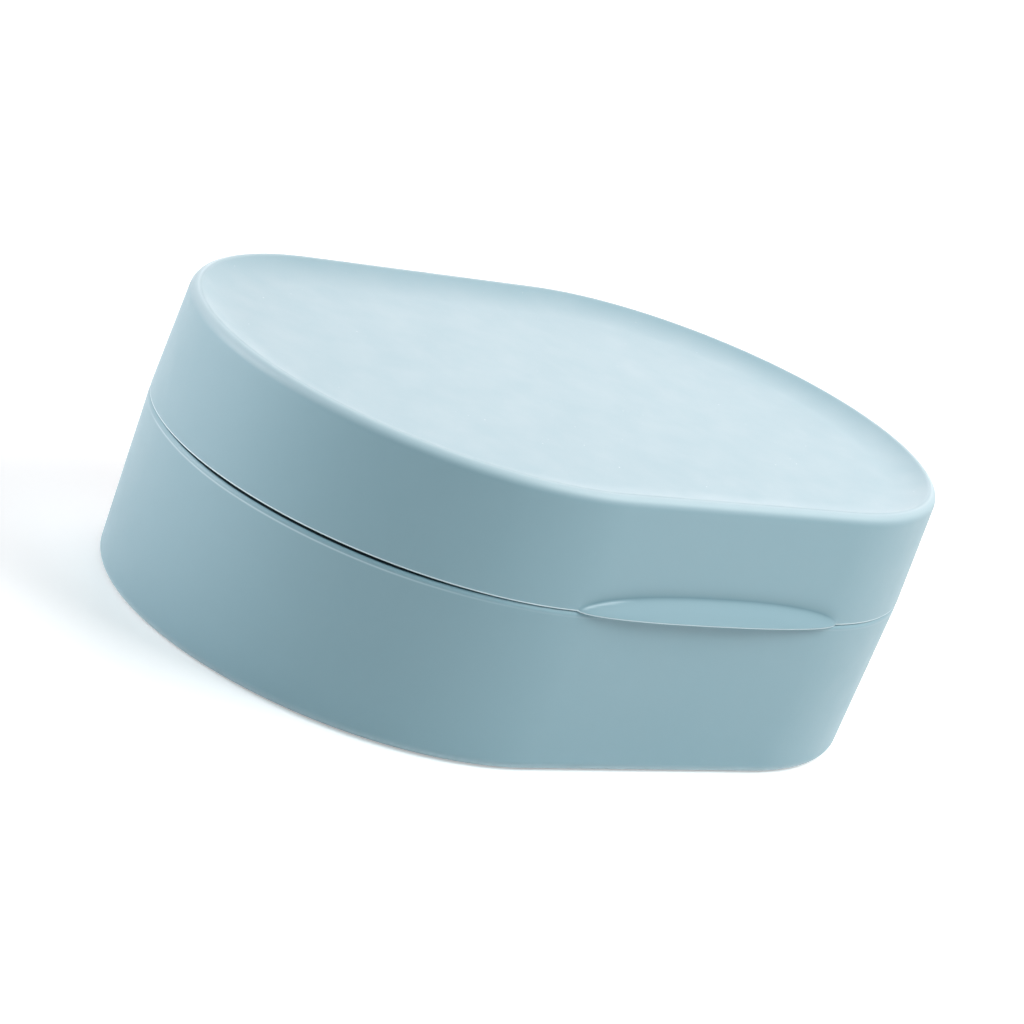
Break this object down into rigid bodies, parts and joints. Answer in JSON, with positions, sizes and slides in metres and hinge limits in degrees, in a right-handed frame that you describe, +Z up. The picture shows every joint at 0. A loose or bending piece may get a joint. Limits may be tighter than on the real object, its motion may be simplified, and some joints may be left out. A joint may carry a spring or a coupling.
{
  "type": "travel soap box",
  "caption": "Stadium-shaped travel soap box with a hinged lid, a pull lip at the front, a seal inside the lid and a lift-out slotted drain tray.",
  "frame": {"origin": "middle of the face that the box stands on", "axes": "+X along the length, -Y towards the front with the pull lip, +Y towards the hinge, +Z up"},
  "size_m": [0.125, 0.0833, 0.0416],
  "materials": {
    "shell_plastic": "satin, fine moulded texture",
    "tray_plastic": "satin",
    "seal_silicone": "smooth matt silicone",
    "pin_steel": "drawn wire"
  },
  "bodies": {
    "base": {"base_shell": "shell_plastic", "hinge_pin": "pin_steel"},
    "lid": {"lid_shell": "shell_plastic", "seal_ring": "seal_silicone"},
    "tray": {"drain_tray": "tray_plastic"}
  },
  "joints": [
    {"name": "lid_hinge", "type": "hinge", "parent": "base", "child": "lid", "pos_m": [0, 0.04015, 0.0245], "axis": [-1, 0, 0], "range_deg": [0, 145]},
    {"name": "tray_lift", "type": "slide", "parent": "base", "child": "tray", "axis": [0, 0, 1], "range_m": [0, 0.016]}
  ]
}
